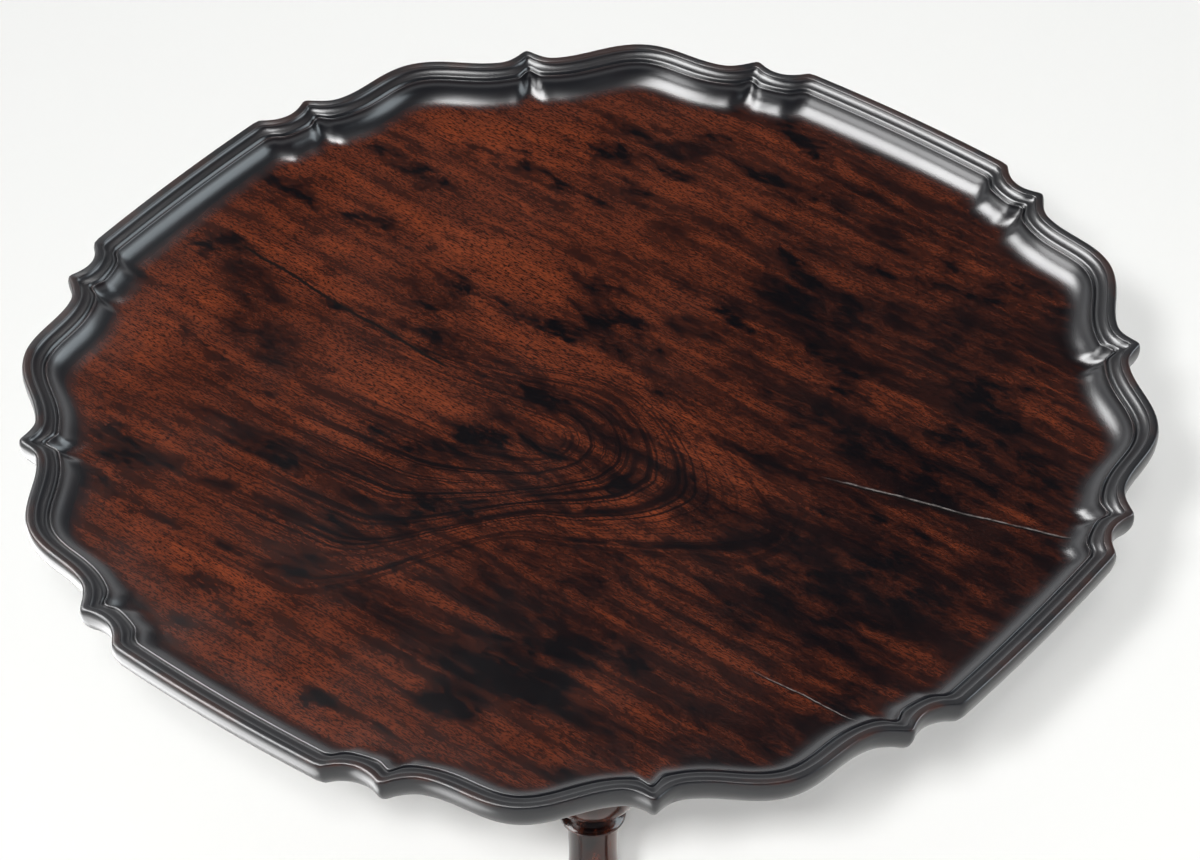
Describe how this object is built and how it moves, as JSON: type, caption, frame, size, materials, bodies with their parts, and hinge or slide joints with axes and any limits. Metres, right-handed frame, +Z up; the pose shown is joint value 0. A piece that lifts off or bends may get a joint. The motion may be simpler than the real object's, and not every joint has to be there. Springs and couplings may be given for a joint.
{
  "type": "tilt top table",
  "caption": "Tilt-top tea table: a scalloped, dished wooden top on a turning birdcage, a turned column and a tripod of cabriole legs, with a brass catch.",
  "frame": {"origin": "on the floor, under the column's axis", "axes": "+Z up, -Y the front, where the catch is; +X along the pintles and the top's grain"},
  "size_m": [0.7448, 0.7524, 0.711],
  "materials": {
    "dark_rosewood": "polished, very dark red-brown with near-black clouds",
    "dark_mahogany": "polished, dark",
    "plain_mahogany": "unpolished, oxidised",
    "aged_brass": "tarnished",
    "wrought_iron": "dark, dull"
  },
  "bodies": {
    "base": {"column": "dark_mahogany", "leg_front": "dark_mahogany", "leg_back": "dark_mahogany", "leg_right": "dark_mahogany", "collar_ring": "dark_mahogany", "wedge_key": "plain_mahogany", "spider_plate": "wrought_iron", "plate_nail_1": "wrought_iron", "plate_nail_2": "wrought_iron", "plate_nail_3": "wrought_iron", "plate_nail_4": "wrought_iron"},
    "cage": {"cage_upper_block": "plain_mahogany", "cage_lower_block": "dark_mahogany", "cage_pillar_1": "dark_mahogany", "cage_pillar_2": "dark_mahogany", "cage_pillar_3": "dark_mahogany", "cage_pillar_4": "dark_mahogany", "keeper_plate": "aged_brass", "keeper_screw_1": "aged_brass", "keeper_screw_2": "aged_brass"},
    "top": {"top_board": "dark_rosewood", "batten_left": "plain_mahogany", "batten_right": "plain_mahogany", "batten_screw_1": "wrought_iron", "batten_screw_2": "wrought_iron", "batten_screw_3": "wrought_iron", "batten_screw_4": "wrought_iron", "batten_screw_5": "wrought_iron", "batten_screw_6": "wrought_iron", "batten_screw_7": "wrought_iron", "batten_screw_8": "wrought_iron", "catch_case": "aged_brass", "catch_spring": "aged_brass", "catch_screw_1": "aged_brass", "catch_screw_2": "aged_brass", "catch_screw_3": "aged_brass", "catch_screw_4": "aged_brass"},
    "catch_bolt": {"catch_bolt": "aged_brass", "catch_knob": "aged_brass"}
  },
  "joints": [
    {"name": "cage_spin", "type": "hinge", "parent": "base", "child": "cage", "pos_m": [0, 0, 0.5727], "axis": [0, 0, 1], "continuous": true},
    {"name": "top_tilt", "type": "hinge", "parent": "cage", "child": "top", "pos_m": [0, 0.0905, 0.6727], "axis": [-1, 0, 0], "range_deg": [0, 90]},
    {"name": "catch_slide", "type": "slide", "parent": "top", "child": "catch_bolt", "axis": [0, 1, 0], "range_m": [0, 0.008]}
  ]
}
